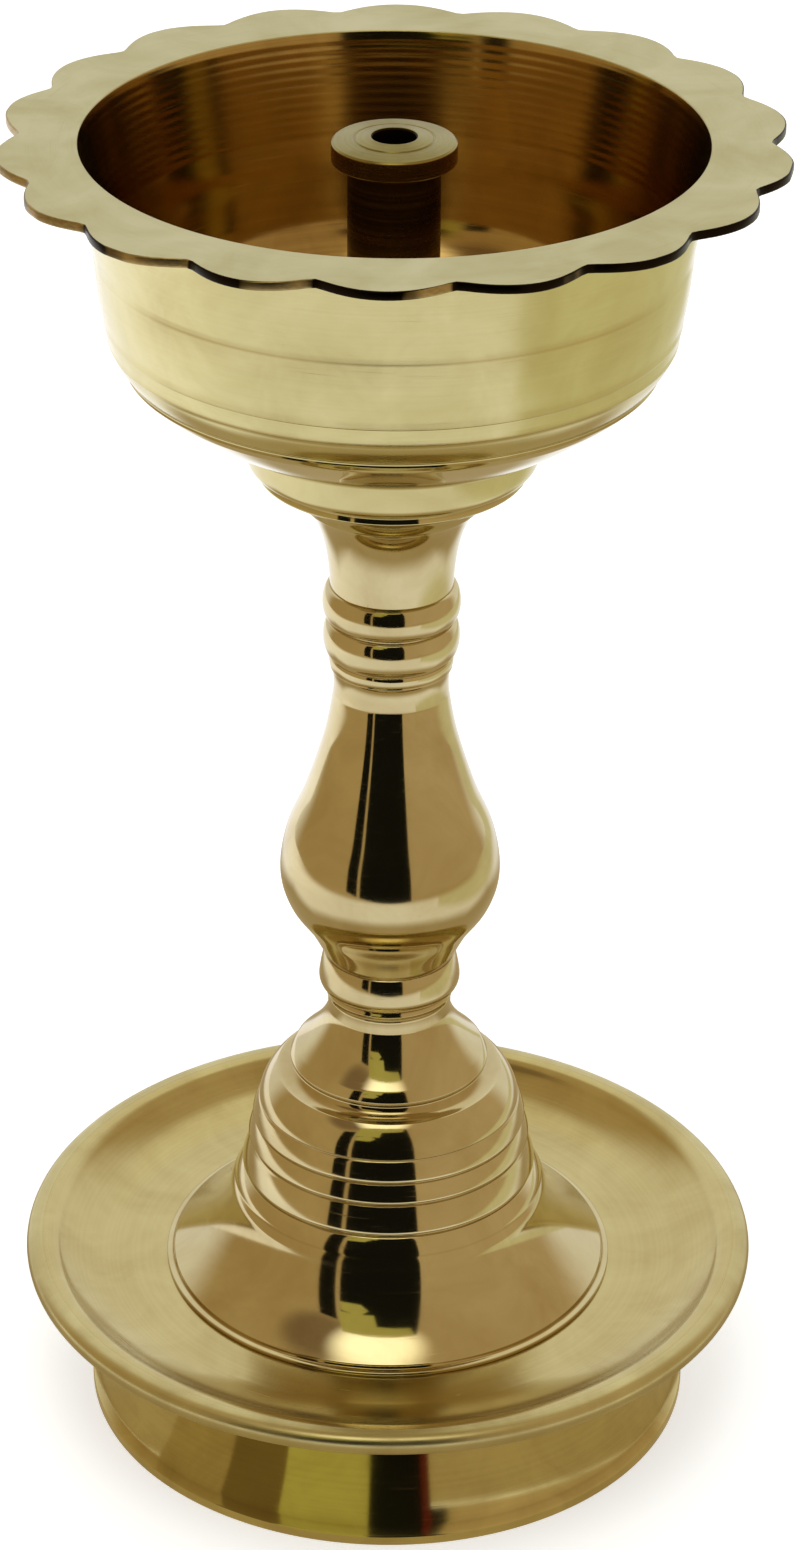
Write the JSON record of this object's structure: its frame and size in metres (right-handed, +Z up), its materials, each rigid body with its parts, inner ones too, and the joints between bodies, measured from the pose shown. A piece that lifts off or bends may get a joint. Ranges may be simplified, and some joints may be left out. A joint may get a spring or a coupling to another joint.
{
  "type": "pedestal oil lamp",
  "caption": "Turned brass pedestal diya: scalloped oil bowl with an upright drilled wick tube, on a beaded baluster stem, bell foot and round drip tray.",
  "frame": {"origin": "on the lamp's upright axis, at the surface that the foot stands on", "axes": "+Z up along the turning axis; -Y towards the viewer of the picture, with a petal tip there"},
  "size_m": [0.097, 0.097, 0.178],
  "materials": {
    "polished_brass": "lathe turned and buffed to a mirror",
    "satin_brass": "turned and satin buffed",
    "dark_brass": "turned, dulled by oil",
    "fixing_brass": "as machined"
  },
  "bodies": {
    "base": {"drip_tray": "polished_brass", "bell_pedestal": "polished_brass", "baluster_stem": "polished_brass", "tie_rod": "fixing_brass"},
    "washer": {"tie_washer": "fixing_brass"},
    "nut": {"tie_nut": "fixing_brass"},
    "stud": {"bowl_stud": "fixing_brass"},
    "bowl": {"oil_bowl": "satin_brass"},
    "wick_tube": {"wick_tube": "dark_brass"},
    "wick_disc": {"wick_disc": "satin_brass"}
  },
  "joints": [
    {"name": "bowl_rise", "type": "slide", "parent": "base", "child": "stud", "axis": [0, 0, 1], "range_m": [0, 0.0075]},
    {"name": "bowl_turn", "type": "hinge", "parent": "stud", "child": "bowl", "pos_m": [0, 0, 0.1306], "axis": [0, 0, 1], "range_deg": [0, 1800]},
    {"name": "wick_rise", "type": "slide", "parent": "bowl", "child": "wick_tube", "axis": [0, 0, 1], "range_m": [0, 0.005]},
    {"name": "wick_turn", "type": "hinge", "parent": "wick_tube", "child": "wick_disc", "pos_m": [0, 0, 0.1751], "axis": [0, 0, 1], "range_deg": [0, 1440]},
    {"name": "washer_drop", "type": "slide", "parent": "base", "child": "washer", "axis": [0, 0, -1], "range_m": [0, 0.006]},
    {"name": "nut_turn", "type": "hinge", "parent": "washer", "child": "nut", "pos_m": [0, 0, 0.0108], "axis": [0, 0, -1], "range_deg": [0, 2160]}
  ],
  "couplings": [
    {"joint": "bowl_turn", "follows": "bowl_rise", "rad_per_m": 4188.8},
    {"joint": "wick_turn", "follows": "wick_rise", "rad_per_m": 5026.5},
    {"joint": "nut_turn", "follows": "washer_drop", "rad_per_m": 6283.2}
  ]
}
